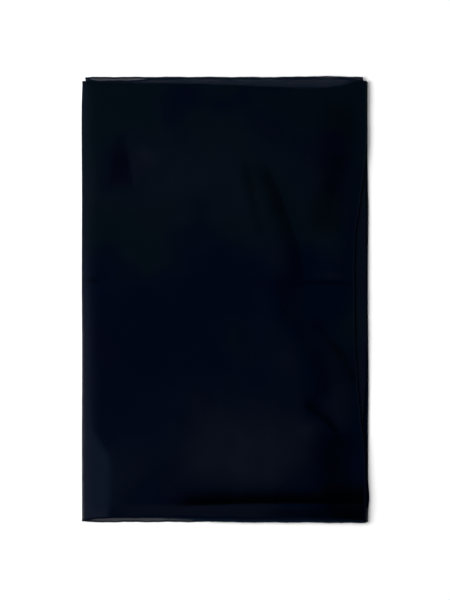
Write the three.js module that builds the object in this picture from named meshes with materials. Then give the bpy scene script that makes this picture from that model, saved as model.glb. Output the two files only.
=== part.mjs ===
// A light woven scarf with a narrow rolled hem, folded in half twice along its length and laid flat.
// Four leaves of one cloth lie on each other: on the left an outer fold wraps an inner one, and on the
// right are the first fold, low down, and the scarf's two free ends above it.
// Millimetres, +Z up. +X points to the free ends and +Y to the back long hem. The origin is on the
// table, under the middle of the folded scarf.

import * as THREE from "three";

// How far the folded outline reaches on the table, and the cloth and hem that make it.
const LEFT = -225.3;
const RIGHT = 227.4;
const FRONT = -350.3;
const BACK = 351;
const WALL = 1.0; // thickness of one leaf of cloth
const LEAF_STEP = 1.8; // from the middle of one leaf to the next, where they lie closest
const HEM = { width: 2.8, thickness: 1.4, gap: 0.3, sides: 8 };
const MARGIN = HEM.width + HEM.gap; // what a hem takes at the edge of the cloth

// The leaves in the order in which they lie, from the table up.
const LEVEL = { bottom: 0, second: 1, third: 2, top: 3 };

// How far each leaf's two long hems lie inside the outline, at a share of the way across it, from its
// fold on the left (0) to its right end (1). Leaves that share a fold agree where they meet.
const LONG_HEMS = {
  top: [
    { across: 0.0, back: 7.6, front: 2.4 },
    { across: 0.04, back: 8.4, front: 6.8 },
    { across: 0.08, back: 9.0, front: 7.2 },
    { across: 0.13, back: 10.1, front: 8.6 },
    { across: 0.25, back: 11.0, front: 9.6 },
    { across: 0.4, back: 12.1, front: 8.7 },
    { across: 0.62, back: 15.6, front: 7.2 },
    { across: 0.76, back: 19.1, front: 6.9 },
    { across: 0.84, back: 19.2, front: 5.9 },
    { across: 0.9, back: 15.4, front: 4.6 },
    { across: 0.94, back: 11.8, front: 3.8 },
    { across: 0.975, back: 7.2, front: 3.1 },
    { across: 1.0, back: 7.4, front: 2.7 },
  ],
  third: [
    { across: 0.0, back: 1.6, front: 7.6 },
    { across: 0.06, back: 0.9, front: 7.9 },
    { across: 0.15, back: 1.1, front: 7.6 },
    { across: 0.25, back: 1.0, front: 6.8 },
    { across: 0.35, back: 1.0, front: 3.6 },
    { across: 0.45, back: 1.0, front: 1.4 },
    { across: 0.6, back: 1.2, front: 0.8 },
    { across: 0.74, back: 0.9, front: 0.7 },
    { across: 0.79, back: 0.1, front: 0.6 },
    { across: 0.84, back: 0.0, front: 0.4 },
    { across: 0.92, back: 0.0, front: 0.0 },
    { across: 0.97, back: 0.7, front: 0.1 },
    { across: 1.0, back: 1.4, front: 0.2 },
  ],
  second: [
    { across: 0.0, back: 1.6, front: 7.6 },
    { across: 0.02, back: 5.0, front: 7.8 },
    { across: 0.045, back: 6.4, front: 8.1 },
    { across: 0.1, back: 6.3, front: 8.1 },
    { across: 0.17, back: 5.8, front: 7.9 },
    { across: 0.25, back: 2.6, front: 7.4 },
    { across: 0.35, back: 1.4, front: 5.8 },
    { across: 0.5, back: 1.6, front: 2.8 },
    { across: 0.6, back: 2.0, front: 1.7 },
    { across: 0.8, back: 2.4, front: 1.2 },
    { across: 0.94, back: 3.2, front: 0.9 },
    { across: 1.0, back: 8.0, front: 0.9 },
  ],
  bottom: [
    { across: 0.0, back: 7.6, front: 2.4 },
    { across: 0.03, back: 8.4, front: 0.5 },
    { across: 0.085, back: 9.6, front: 0.6 },
    { across: 0.2, back: 11.6, front: 0.8 },
    { across: 0.3, back: 12.6, front: 0.9 },
    { across: 0.42, back: 13.5, front: 1.1 },
    { across: 0.52, back: 14.1, front: 2.8 },
    { across: 0.6, back: 14.7, front: 4.2 },
    { across: 0.7, back: 15.5, front: 3.2 },
    { across: 0.88, back: 16.0, front: 1.6 },
    { across: 1.0, back: 8.0, front: 0.9 },
  ],
};

// How far inside the right side the two free ends and the first fold stop, from front to back, and how
// far that soft fold stands open.
const RIGHT_ENDS = [
  { y: -350, top: 6.0, third: 6.3, fold: 2.2, open: 2.4 },
  { y: -333, top: 6.1, third: 7.2, fold: 1.7, open: 3.0 },
  { y: -311, top: 6.2, third: 8.2, fold: 0.0, open: 3.3 },
  { y: -285, top: 6.4, third: 9.4, fold: 1.6, open: 2.4 },
  { y: -240, top: 7.5, third: 11.2, fold: 1.9, open: 1.1 },
  { y: -197, top: 12.4, third: 10.8, fold: 2.0, open: 0.6 },
  { y: -163, top: 16.0, third: 7.9, fold: 1.7, open: 0.5 },
  { y: -130, top: 18.8, third: 6.0, fold: 1.4, open: 0.5 },
  { y: -71, top: 22.5, third: 4.7, fold: 1.7, open: 0.5 },
  { y: 0, top: 23.5, third: 4.8, fold: 2.3, open: 0.4 },
  { y: 62, top: 23.7, third: 4.9, fold: 2.2, open: 0.4 },
  { y: 102, top: 22.2, third: 5.1, fold: 1.9, open: 0.3 },
  { y: 149, top: 15.5, third: 5.3, fold: 1.6, open: 0.1 },
  { y: 176, top: 11.6, third: 5.6, fold: 2.3, open: 0.0 },
  { y: 204, top: 8.4, third: 5.7, fold: 2.6, open: 0.0 },
  { y: 232, top: 5.0, third: 5.8, fold: 2.7, open: 0.0 },
  { y: 280, top: 4.6, third: 6.0, fold: 2.8, open: 0.0 },
  { y: 335, top: 4.8, third: 7.0, fold: 2.8, open: 0.0 },
  { y: 350, top: 5.6, third: 11.0, fold: 2.8, open: 0.0 },
];

// How far inside the left side the outer and the inner fold stop, from front to back. In front the
// inner fold swings away from the outer one, and at the back it comes up close to it.
const LEFT_FOLDS = [
  { y: -350, outer: 0.6, inner: 42.0 },
  { y: -312, outer: 0.4, inner: 44.0 },
  { y: -262, outer: 0.3, inner: 46.0 },
  { y: -240, outer: 0.2, inner: 41.0 },
  { y: -222, outer: 0.2, inner: 28.0 },
  { y: -205, outer: 0.2, inner: 18.0 },
  { y: -180, outer: 0.3, inner: 12.6 },
  { y: -90, outer: 0.6, inner: 10.2 },
  { y: 30, outer: 0.15, inner: 11.4 },
  { y: 160, outer: 0.4, inner: 10.6 },
  { y: 300, outer: 0.0, inner: 11.0 },
  { y: 350, outer: 1.6, inner: 5.6 },
];

// Where the top leaf stands up off the leaf below it: the middle of each swell, how far it reaches on
// its long and its short way, how many degrees its long way is turned from +X, and how high it rises.
const SWELLS = [
  { name: "all over", x: 0, y: 0, long: 420, short: 700, turn: 0, rise: 0.7 },
  { name: "lower middle", x: 33, y: -240, long: 112, short: 85, turn: 0, rise: 4.0 },
  { name: "upper middle", x: -20, y: 190, long: 150, short: 75, turn: 0, rise: 2.0 },
  { name: "left of the upper crease", x: 66, y: 115, long: 105, short: 30, turn: -69, rise: 1.2 },
  { name: "left of the lower crease", x: 92, y: -75, long: 95, short: 30, turn: -70, rise: 1.1 },
  { name: "right of the upper one", x: 160, y: 150, long: 95, short: 34, turn: -86, rise: 1.4 },
  { name: "right of the lower one", x: 172, y: -140, long: 60, short: 26, turn: -75, rise: 1.6 },
  { name: "knob under the hook", x: 134, y: -206, long: 18, short: 14, turn: -30, rise: 1.6 },
  { name: "half fold, right", x: 168, y: 36, long: 46, short: 6, turn: -1, rise: 1.4 },
  { name: "lower left corner", x: -172, y: -285, long: 62, short: 44, turn: 80, rise: 2.4 },
  { name: "upper left", x: -118, y: 228, long: 26, short: 14, turn: -35, rise: 1.3 },
];

// Where it dips back to the leaf below. A crease runs down the scarf or across it, along a curve
// through a few points. Its flanks reach so far before and after that curve, it takes a share of the
// height away, and it fades out over its ends. A keen crease has a power near 1, a soft one near 2.
const CREASES = [
  {
    name: "front groove",
    runs: "across",
    line: [{ x: -98, y: -323 }, { x: -50, y: -321 }, { x: 60, y: -318 }, { x: 262, y: -318 }],
    flanks: { before: 7, after: 30 },
    share: 0.97,
    fade: 55,
    power: 1.1,
  },
  {
    name: "long, upper",
    runs: "down",
    line: [{ x: 121, y: 2 }, { x: 117, y: 67 }, { x: 102, y: 117 }, { x: 86, y: 162 }, { x: 60, y: 222 }],
    flanks: { before: 30, after: 36 },
    share: 0.85,
    fade: 40,
    power: 1.3,
  },
  {
    name: "beside it, fainter",
    runs: "down",
    line: [{ x: 64, y: 85 }, { x: 50, y: 135 }, { x: 38, y: 190 }, { x: 34, y: 230 }],
    flanks: { before: 18, after: 16 },
    share: 0.35,
    fade: 30,
    power: 1.5,
  },
  {
    name: "long, lower",
    runs: "down",
    line: [
      { x: 138, y: -180 },
      { x: 146, y: -134 },
      { x: 137, y: -97 },
      { x: 118, y: -59 },
      { x: 94, y: -21 },
      { x: 80, y: 52 },
    ],
    flanks: { before: 20, after: 36 },
    share: 0.78,
    fade: 35,
    power: 1.35,
  },
  {
    name: "hook",
    runs: "across",
    line: [{ x: 118, y: -160 }, { x: 146, y: -180 }, { x: 168, y: -200 }, { x: 188, y: -234 }],
    flanks: { before: 20, after: 14 },
    share: 0.78,
    fade: 18,
    power: 1.5,
  },
  {
    name: "lower right fall",
    runs: "down",
    line: [{ x: 182, y: -352 }, { x: 174, y: -300 }, { x: 170, y: -250 }, { x: 174, y: -196 }],
    flanks: { before: 40, after: 38 },
    share: 0.85,
    fade: 26,
    power: 2.1,
  },
  {
    name: "to the free end",
    runs: "down",
    line: [{ x: 214, y: -150 }, { x: 190, y: -97 }, { x: 152, y: -46 }, { x: 140, y: -20 }],
    flanks: { before: 22, after: 26 },
    share: 0.65,
    fade: 28,
    power: 1.6,
  },
  {
    name: "half fold, right",
    runs: "across",
    line: [{ x: 112, y: 27 }, { x: 216, y: 25 }],
    flanks: { before: 11, after: 7 },
    share: 0.85,
    fade: 16,
    power: 1.3,
  },
  {
    name: "half fold, left",
    runs: "across",
    line: [{ x: -226, y: 31 }, { x: -190, y: 28 }],
    flanks: { before: 7, after: 5 },
    share: 0.8,
    fade: 14,
    power: 1.2,
  },
  {
    name: "upper left dent",
    runs: "down",
    line: [{ x: -161, y: 160 }, { x: -160, y: 255 }],
    flanks: { before: 19, after: 17 },
    share: 0.6,
    fade: 38,
    power: 2,
  },
  {
    name: "upper left dent, its left side",
    runs: "down",
    line: [{ x: -180, y: 165 }, { x: -174, y: 205 }, { x: -167, y: 232 }, { x: -161, y: 268 }],
    flanks: { before: 7, after: 12 },
    share: 0.3,
    fade: 26,
    power: 1.5,
  },
  {
    name: "upper left dent, its right side",
    runs: "down",
    line: [{ x: -143, y: 165 }, { x: -148, y: 205 }, { x: -155, y: 232 }, { x: -161, y: 268 }],
    flanks: { before: 12, after: 7 },
    share: 0.4,
    fade: 26,
    power: 1.4,
  },
  {
    name: "upper right dip",
    runs: "down",
    line: [{ x: 165, y: 80 }, { x: 165, y: 150 }, { x: 177, y: 220 }, { x: 184, y: 330 }],
    flanks: { before: 40, after: 30 },
    share: 0.75,
    fade: 50,
    power: 1.8,
  },
];
const LETS_GO = 1.6; // a crease's hold at its flank is e to the power of minus this, a fifth

// How the top leaf comes down to its edges: within this reach of each it falls to the share that is kept.
const TOP_EDGES = { hemInset: 8, back: 26, front: 18, right: 34, kept: 0.12 };

// The top leaf rolls down into the outer fold, less where the inner fold lies so near that it holds it up.
const SHOULDER = { pastInnerFold: 10, drop: 1.7, heldUpWithin: 11 };

// A soft fold opens its two leaves a little, most where its nose ends, and less as they run together.
const FOLD_SWELL = { reach: 34, nose: 8, inner: 0.35 };
const RIPPLE = { second: 0.2, third: 0.3, lengthX: 150, lengthY: 210, fadeIn: 20 }; // slack in the inner leaves
const HEM_LIFT = { near: 14, far: 40 }; // the cloth rises to the middle of its thicker hem

// The way along the cloth, from the top leaf's free end to the third leaf's. A leaf runs left or right,
// a fold joins two leaves, and an end is the stretch that a free end's hem takes.
const WAY = [
  { part: "end", leaf: "top", steps: 1 },
  { part: "leaf", leaf: "top", runs: -1, steps: 30 },
  { part: "fold", side: "left", from: "top", to: "bottom", steps: 8 },
  { part: "leaf", leaf: "bottom", runs: 1, steps: 7 },
  { part: "fold", side: "right", from: "bottom", to: "second", steps: 6 },
  { part: "leaf", leaf: "second", runs: -1, steps: 7 },
  { part: "fold", side: "left", from: "second", to: "third", steps: 6 },
  { part: "leaf", leaf: "third", runs: 1, steps: 8 },
  { part: "end", leaf: "third", steps: 1 },
];
const WAY_STEPS = WAY.reduce((sum, stretch) => sum + stretch.steps, 0);

// The rows of facets across the cloth, in bands from its front edge to its back one, narrow where it
// creases and where the inner fold swings away.
const BANDS = [
  { band: "front edge", depth: 15, rows: 2 },
  { band: "front groove", depth: 24, rows: 3 },
  { band: "lower left bend", depth: 115, rows: 6 },
  { band: "front half", depth: 193, rows: 4 },
  { band: "half fold", depth: 38, rows: 4 },
  { band: "back half", depth: 270, rows: 7 },
  { band: "back edge", depth: 39, rows: 2 },
];
const BAND_ROWS = BANDS.reduce((sum, band) => sum + band.rows, 0);
const BAND_DEPTH = BANDS.reduce((sum, band) => sum + band.depth, 0);

const clamp01 = (t) => Math.min(1, Math.max(0, t));
const ease = (t) => clamp01(t) ** 2 * (3 - 2 * clamp01(t));
const mix = (a, b, t) => a + (b - a) * t;

// A smooth curve through one column of a table, whose rows are in order of their key.
function curveThrough(rows, key, column, at) {
  const last = rows.length - 1;
  const slope = (i) => {
    const before = rows[Math.max(0, i - 1)];
    const after = rows[Math.min(last, i + 1)];
    return (after[column] - before[column]) / (after[key] - before[key]);
  };
  if (at <= rows[0][key]) return rows[0][column];
  if (at >= rows[last][key]) return rows[last][column];
  const i = rows.findIndex((row) => row[key] > at) - 1;
  const span = rows[i + 1][key] - rows[i][key];
  const t = (at - rows[i][key]) / span;
  const start = (2 * t ** 3 - 3 * t ** 2 + 1) * rows[i][column];
  const end = (3 * t ** 2 - 2 * t ** 3) * rows[i + 1][column];
  const leaving = (t ** 3 - 2 * t ** 2 + t) * span * slope(i);
  const arriving = (t ** 3 - t ** 2) * span * slope(i + 1);
  return start + end + leaving + arriving;
}

const atRightEnds = (column, y) => curveThrough(RIGHT_ENDS, "y", column, y);
const atLeftFolds = (column, y) => curveThrough(LEFT_FOLDS, "y", column, y);

// A fold's nose bulges past the ends of its leaves by about half the height that it turns through.
const noseBulge = (levels) => (levels * LEAF_STEP) / 2;
const OUTER_BULGE = 1.9; // the outer fold's nose, lower than its four leaves because of the shoulder

// The left and right ends of a leaf's flat stretch at one distance from front to back.
function leafLeft(leaf, y) {
  const inner = leaf === "second" || leaf === "third";
  if (inner) return LEFT + atLeftFolds("inner", y) + WALL / 2 + noseBulge(1);
  return LEFT + atLeftFolds("outer", y) + WALL / 2 + OUTER_BULGE;
}

function leafRight(leaf, y) {
  const free = leaf === "top" || leaf === "third";
  if (free) return RIGHT - atRightEnds(leaf, y) - MARGIN;
  return RIGHT - atRightEnds("fold", y) - WALL / 2 - noseBulge(1);
}

// A swell's height at a point.
function swellHeight(swell, x, y) {
  const turn = THREE.MathUtils.degToRad(swell.turn);
  const along = (x - swell.x) * Math.cos(turn) + (y - swell.y) * Math.sin(turn);
  const across = (y - swell.y) * Math.cos(turn) - (x - swell.x) * Math.sin(turn);
  return swell.rise * Math.exp(-((along / swell.long) ** 2) - (across / swell.short) ** 2);
}

// How much of the height a crease takes away: its share in its bottom, 0 past its flanks and its ends.
function creaseGrip(crease, x, y) {
  const { line, flanks, share, fade, power } = crease;
  const [key, column, at, beside] = crease.runs === "down" ? ["y", "x", y, x] : ["x", "y", x, y];
  const past = beside - curveThrough(line, key, column, at);
  const flank = past < 0 ? flanks.before : flanks.after;
  const ends = ease((at - line[0][key]) / fade) * ease((line.at(-1)[key] - at) / fade);
  return share * Math.exp(-LETS_GO * (Math.abs(past) / flank) ** power) * ends;
}

// How far the top leaf stands off the third one.
function topLoft(x, y) {
  const raised = SWELLS.reduce((sum, swell) => sum + swellHeight(swell, x, y), 0);
  const left = CREASES.reduce((product, crease) => product * (1 - creaseGrip(crease, x, y)), 1);
  const fall = (distance, reach) => mix(TOP_EDGES.kept, 1, ease(distance / reach));
  const edges =
    fall(BACK - TOP_EDGES.hemInset - y, TOP_EDGES.back) *
    fall(y - FRONT - TOP_EDGES.hemInset, TOP_EDGES.front) *
    fall(leafRight("top", y) - x, TOP_EDGES.right);
  return raised * left * edges;
}

// Slack that comes and goes across a leaf, from 0 to 1.
function ripple(x, y) {
  const wave = (at, length) => 0.5 + 0.5 * Math.sin((2 * Math.PI * at) / length);
  return wave(x, RIPPLE.lengthX) * wave(y, RIPPLE.lengthY);
}

// The height of the middle of a leaf.
function leafHeight(leaf, x, y) {
  const level = LEVEL[leaf];
  const toLongHem = Math.min(y - FRONT, BACK - y);
  const intoField = ease((toLongHem - HEM_LIFT.near) / (HEM_LIFT.far - HEM_LIFT.near));
  const besideNose = ease((leafRight("second", y) - x) / FOLD_SWELL.nose);
  const nearFirstFold = (1 - ease((RIGHT - x) / FOLD_SWELL.reach)) * besideNose;
  const nearInnerFold = 1 - ease((x - leafLeft("second", y)) / FOLD_SWELL.reach);
  const slack = ripple(x, y);

  let z = WALL / 2 + level * LEAF_STEP + ((HEM.thickness - WALL) / 2) * (1 - intoField);
  if (level >= LEVEL.second) z += RIPPLE.second * slack + atRightEnds("open", y) * nearFirstFold;
  if (level >= LEVEL.third) z += RIPPLE.third * (1 - slack) * ease((x - leafLeft("third", y)) / RIPPLE.fadeIn);
  if (level === LEVEL.top) {
    const toInnerFold = leafLeft("second", y) - LEFT;
    const rolled = clamp01(1 - (x - leafLeft("top", y)) / (toInnerFold + SHOULDER.pastInnerFold));
    const drop = SHOULDER.drop * Math.min(1, toInnerFold / SHOULDER.heldUpWithin);
    z += FOLD_SWELL.inner * nearInnerFold + topLoft(x, y) * (1 - ease(rolled)) - drop * rolled ** 2;
  }
  return z;
}

// Which stretch of the way a step count falls in, and how far through it.
function stretchAt(u) {
  let start = 0;
  for (const stretch of WAY) {
    if (u <= start + stretch.steps || stretch === WAY.at(-1)) return { stretch, t: (u - start) / stretch.steps };
    start += stretch.steps;
  }
}

// Steps lie closer together at a leaf's two ends than in its middle.
const END_PULL = 0.075;
const closerAtEnds = (t) => t - END_PULL * Math.sin(2 * Math.PI * t);

// A point in the middle of the cloth: u steps along the way, at y from front to back.
function clothPoint(u, y) {
  const { stretch, t } = stretchAt(u);
  if (stretch.part === "fold") return foldPoint(stretch, t, y);
  const left = leafLeft(stretch.leaf, y);
  const right = leafRight(stretch.leaf, y);
  let x;
  if (stretch.part === "leaf") {
    const share = closerAtEnds(t);
    x = stretch.runs > 0 ? mix(left, right, share) : mix(right, left, share);
  } else {
    x = right + MARGIN * (stretch === WAY[0] ? 1 - t : t);
  }
  return new THREE.Vector3(x, y, leafHeight(stretch.leaf, x, y));
}

// A fold is one Bezier curve that leaves each leaf along that leaf's own slope. Its nose stands out by
// three quarters of its handles.
const NOSE_SHARE = 0.75;
const SLOPE_STEP = 0.5; // how far into the leaf its slope is measured
function foldPoint(fold, t, y) {
  const outwards = fold.side === "left" ? -1 : 1;
  const end = (leaf) => {
    const x = fold.side === "left" ? leafLeft(leaf, y) : leafRight(leaf, y);
    const z = leafHeight(leaf, x, y);
    const slope = (z - leafHeight(leaf, x - outwards * SLOPE_STEP, y)) / SLOPE_STEP;
    return { x, z, slope };
  };
  const a = end(fold.from);
  const b = end(fold.to);
  const bulge = fold.from === "top" ? OUTER_BULGE : noseBulge(1);
  const reach = bulge / NOSE_SHARE;
  return new THREE.CubicBezierCurve3(
    new THREE.Vector3(a.x, y, a.z),
    new THREE.Vector3(a.x + outwards * reach, y, a.z + reach * a.slope),
    new THREE.Vector3(b.x + outwards * reach, y, b.z + reach * b.slope),
    new THREE.Vector3(b.x, y, b.z),
  ).getPoint(t);
}

// The y of a long hem's outer edge, u steps along the way.
function longEdge(side, u) {
  const { stretch, t } = stretchAt(u);
  const inset = (leaf, across) => curveThrough(LONG_HEMS[leaf], "across", side, across);
  let distance;
  if (stretch.part === "fold") {
    const across = stretch.side === "left" ? 0 : 1;
    distance = mix(inset(stretch.from, across), inset(stretch.to, across), t);
  } else if (stretch.part === "leaf") {
    const share = closerAtEnds(t);
    distance = inset(stretch.leaf, stretch.runs > 0 ? share : 1 - share);
  } else {
    distance = inset(stretch.leaf, 1);
  }
  return side === "back" ? BACK - distance : FRONT + distance;
}

// How much of the cloth's depth lies in front of the edge between two rows, from 0 to 1.
function depthShare(rows) {
  let before = 0;
  for (const band of BANDS) {
    if (rows <= band.rows) return (before + (rows / band.rows) * band.depth) / BAND_DEPTH;
    rows -= band.rows;
    before += band.depth;
  }
  return 1;
}

// The cloth's own frame at a point: along the way, towards the back, and off its face.
function clothFrame(u, y) {
  const small = 0.01;
  const before = clothPoint(Math.max(0, u - small), y);
  const after = clothPoint(Math.min(WAY_STEPS, u + small), y);
  const along = after.sub(before).normalize();
  const across = clothPoint(u, y + small).sub(clothPoint(u, y - small)).normalize();
  const off = new THREE.Vector3().crossVectors(along, across).normalize();
  return { point: clothPoint(u, y), along, across: new THREE.Vector3().crossVectors(off, along), off };
}

// Moves every vertex of a geometry to where the given function carries it.
function carried(geometry, place) {
  const position = geometry.getAttribute("position");
  const at = new THREE.Vector3();
  for (let i = 0; i < position.count; i++) {
    at.fromBufferAttribute(position, i);
    position.setXYZ(i, ...place(at).toArray());
  }
  geometry.computeVertexNormals();
  return geometry;
}

// The y of the edge between two rows of the cloth, u steps along the way.
function clothDepth(u, rows) {
  return mix(longEdge("front", u) + MARGIN, longEdge("back", u) - MARGIN, depthShare(rows));
}

// The woven panel: a flat plate of steps and rows, carried into its folds.
function clothGeometry() {
  const steps = WAY_STEPS - 2;
  const plate = new THREE.BoxGeometry(steps, BAND_ROWS, WALL, steps, BAND_ROWS, 1);
  return carried(plate, (at) => {
    const u = Math.round(at.x + steps / 2) + 1;
    const y = clothDepth(u, Math.round(at.y + BAND_ROWS / 2));
    const { point, off } = clothFrame(u, y);
    return point.addScaledVector(off, at.z);
  });
}

// A long hem: a round bar, flattened, carried along the whole way at the edge of the cloth.
function longHemGeometry(side) {
  const bar = new THREE.CylinderGeometry(0.5, 0.5, WAY_STEPS, HEM.sides, WAY_STEPS);
  const inwards = side === "back" ? -1 : 1;
  return carried(bar, (at) => {
    const u = Math.round(at.y + WAY_STEPS / 2);
    const y = longEdge(side, u) + (inwards * HEM.width) / 2;
    const { point, across, off } = clothFrame(u, y);
    return point.addScaledVector(off, at.x * HEM.thickness).addScaledVector(across, at.z * HEM.width);
  });
}

// A free end's hem: the same bar, carried across the end from one long hem to the other.
function endHemGeometry(end) {
  const bar = new THREE.CylinderGeometry(0.5, 0.5, BAND_ROWS, HEM.sides, BAND_ROWS);
  const middle = HEM.width / 2 / MARGIN;
  const u = end === "first" ? middle : WAY_STEPS - middle;
  return carried(bar, (at) => {
    const y = clothDepth(u, Math.round(at.y + BAND_ROWS / 2));
    const { point, along, off } = clothFrame(u, y);
    return point.addScaledVector(along, at.x * HEM.width).addScaledVector(off, at.z * HEM.thickness);
  });
}

const clothColour = new THREE.Color(0.006, 0.011, 0.024);
const hemColour = new THREE.Color(0.012, 0.017, 0.032);

function piece(name, geometry, color, roughness) {
  const material = new THREE.MeshStandardMaterial({ color, roughness, metalness: 0 });
  const mesh = new THREE.Mesh(geometry, material);
  mesh.name = name;
  return mesh;
}

const scarf = new THREE.Group();
scarf.add(piece("cloth", clothGeometry(), clothColour, 0.75));
scarf.add(piece("hem_back", longHemGeometry("back"), hemColour, 0.8));
scarf.add(piece("hem_front", longHemGeometry("front"), hemColour, 0.8));
scarf.add(piece("hem_top_end", endHemGeometry("first"), hemColour, 0.8));
scarf.add(piece("hem_inner_end", endHemGeometry("last"), hemColour, 0.8));

export default scarf;
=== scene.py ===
# %% [markdown]
# # A folded scarf
#
# The real thing is one length of sheer, near-black cloth, 180 by 70 cm, with a narrow rolled hem all
# round. It has been folded in half twice along its length and laid flat, so four leaves lie on each
# other. Seen from above it is almost one dark rectangle, and everything that tells us it is cloth
# happens at small height: a few creases, a soft shoulder at the fold, hems that don't quite line up,
# and the places where fewer than four leaves lie over the white table and light comes through.
#
# This lesson makes it from one flat grid. A function says where each point of the flat cut lies once
# it is folded, and the same function then carries the hems and their stitches, so that all of them
# stay together. A cloth simulation could fold the sheet too, but four leaves less than 2 mm apart are
# hard on its collisions, and the folds have to lie where the real ones do.

# %% Load the frame
import math

import bmesh
import bpy
import numpy as np
from mathutils import Matrix, Vector


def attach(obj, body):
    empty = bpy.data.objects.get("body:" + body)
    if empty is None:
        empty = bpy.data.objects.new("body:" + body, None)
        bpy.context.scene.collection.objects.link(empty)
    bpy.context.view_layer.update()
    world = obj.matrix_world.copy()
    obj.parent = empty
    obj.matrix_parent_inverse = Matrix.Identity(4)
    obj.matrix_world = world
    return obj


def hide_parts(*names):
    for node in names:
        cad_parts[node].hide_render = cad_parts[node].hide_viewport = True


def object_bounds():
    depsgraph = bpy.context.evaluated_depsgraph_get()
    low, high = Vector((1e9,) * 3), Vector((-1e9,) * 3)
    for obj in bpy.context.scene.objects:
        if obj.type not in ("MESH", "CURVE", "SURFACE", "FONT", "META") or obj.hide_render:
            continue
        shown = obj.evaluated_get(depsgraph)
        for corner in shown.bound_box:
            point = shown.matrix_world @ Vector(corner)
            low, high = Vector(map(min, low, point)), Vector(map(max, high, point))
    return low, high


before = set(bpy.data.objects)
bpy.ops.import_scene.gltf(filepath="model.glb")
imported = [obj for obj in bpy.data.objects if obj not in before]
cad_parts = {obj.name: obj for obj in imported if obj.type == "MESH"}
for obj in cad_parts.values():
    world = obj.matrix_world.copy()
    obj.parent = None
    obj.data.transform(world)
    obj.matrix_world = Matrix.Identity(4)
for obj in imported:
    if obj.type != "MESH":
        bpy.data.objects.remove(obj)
cad_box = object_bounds()
print("the solids reach from", *[tuple(round(v, 4) for v in corner) for corner in cad_box])

# %% [markdown]
# ## Camera
#
# The picture looks straight down. A long lens from two metres up keeps the sides of the scarf
# parallel, and the distance follows from the lens: the picture's height has to span 941 mm of table,
# which is what makes the folded scarf as large in the frame as it is in the photograph.

# %% Camera
SENSOR = 0.036
LENS = 0.085
PICTURE_HEIGHT = 0.941  # metres of table from the top of the picture to its bottom
AIM = Vector((0.0003, -0.0002, 0.006))
MM = 0.001


def link(name, data):
    """A new object in the scene, with its camera, lamp or mesh."""
    obj = bpy.data.objects.new(name, data)
    bpy.context.scene.collection.objects.link(obj)
    return obj


camera_data = bpy.data.cameras.new("overhead")
camera_data.sensor_width = SENSOR / MM
camera_data.lens = LENS / MM
camera = link("overhead", camera_data)
camera.location = AIM + Vector((0, 0, PICTURE_HEIGHT * LENS / SENSOR))
bpy.context.scene.camera = camera
print(f"camera {camera.location.z:.2f} m above the table")

# %% [markdown]
# ## Table and light
#
# Dark cloth shows its folds by what it reflects, so the light matters as much as the mesh; the
# cloth's masks add painted light and shade on top. A broad lamp on the left shines across the scarf:
# whatever faces it turns lighter, and the far flank of each crease falls into shade. The room is bright
# round the horizon and dim overhead, so the flat cloth reflects the dim part and stays almost black.
# The table is a plain pale floor.

# %% Table and light
WHITE = (1.0, 1.0, 1.0, 1.0)
bpy.context.scene.view_settings.view_transform = "Standard"


def nodes_of(owner):
    """The emptied node tree of a material or a world."""
    owner.use_nodes = True
    tree = owner.node_tree
    tree.nodes.clear()
    return tree


def node(tree, kind, settings=None, **inputs):
    """A new node. settings are its own properties. An input is a number, a colour or a socket to link."""
    made = tree.nodes.new(kind)
    for name, value in (settings or {}).items():
        setattr(made, name, value)
    for name, value in inputs.items():
        socket = made.inputs[int(name[1:])] if name[0] == "_" else made.inputs[name.replace("_", " ")]
        if isinstance(value, bpy.types.NodeSocket):
            tree.links.new(value, socket)
        else:
            socket.default_value = value
    return made


def finished(bm, name):
    """The mesh that a bmesh becomes."""
    mesh = bpy.data.meshes.new(name)
    bm.to_mesh(mesh)
    bm.free()
    return mesh


LAMPS = [
    {"name": "key, from the left", "at": (-1.9, 0.15, 1.65), "size": (1.6, 1.6), "watts": 80},
    {"name": "soft box, high behind", "at": (-1.0, 1.0, 2.1), "size": (0.9, 0.9), "watts": 9},
    {"name": "fill, from the right", "at": (1.9, -0.2, 1.1), "size": (1.6, 0.5), "watts": 9},
]
for lamp in LAMPS:
    light = bpy.data.lights.new(lamp["name"], "AREA")
    light.shape = "RECTANGLE"
    light.size, light.size_y = lamp["size"]
    light.energy = lamp["watts"]
    obj = link(lamp["name"], light)
    obj.location = lamp["at"]
    obj.rotation_euler = (-obj.location).to_track_quat("-Z", "Y").to_euler()  # it shines at the origin

WINDOW_SIDE = (-0.8, 0.6, 0.0)  # the room is brighter this way
ROOM = {"low": 0.3, "high": 0.85, "brightest": 1.75, "far_side": 0.25, "side_to_side": 0.8}


def ranged(tree, value, low, high, at_low, at_high, smooth=False):
    """The value of a Map Range node."""
    style = {"interpolation_type": "SMOOTHSTEP" if smooth else "LINEAR"}
    ends = {"From Min": low, "From Max": high, "To Min": at_low, "To Max": at_high}
    return node(tree, "ShaderNodeMapRange", style, Value=value, **ends).outputs["Result"]


def math_node(tree, operation, *values):
    inputs = {f"_{k}": value for k, value in enumerate(values)}
    return node(tree, "ShaderNodeMath", {"operation": operation}, **inputs).outputs[0]


def product(tree, a, b):
    return math_node(tree, "MULTIPLY", a, b)


room = bpy.data.worlds.new("studio room")
bpy.context.scene.world = room
tree = nodes_of(room)
direction = node(tree, "ShaderNodeTexCoord").outputs["Generated"]
up = node(tree, "ShaderNodeSeparateXYZ", _0=direction).outputs["Z"]
low_sky = ranged(tree, up, ROOM["low"], ROOM["high"], ROOM["brightest"], 0.0, smooth=True)
towards = node(tree, "ShaderNodeVectorMath", {"operation": "DOT_PRODUCT"}, _0=direction, _1=WINDOW_SIDE)
reach = ROOM["side_to_side"]
side = ranged(tree, towards.outputs["Value"], -reach, reach, ROOM["far_side"], 1.0)
sky = node(tree, "ShaderNodeBackground", Color=WHITE, Strength=product(tree, low_sky, side))
node(tree, "ShaderNodeOutputWorld", Surface=sky.outputs[0])

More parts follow.
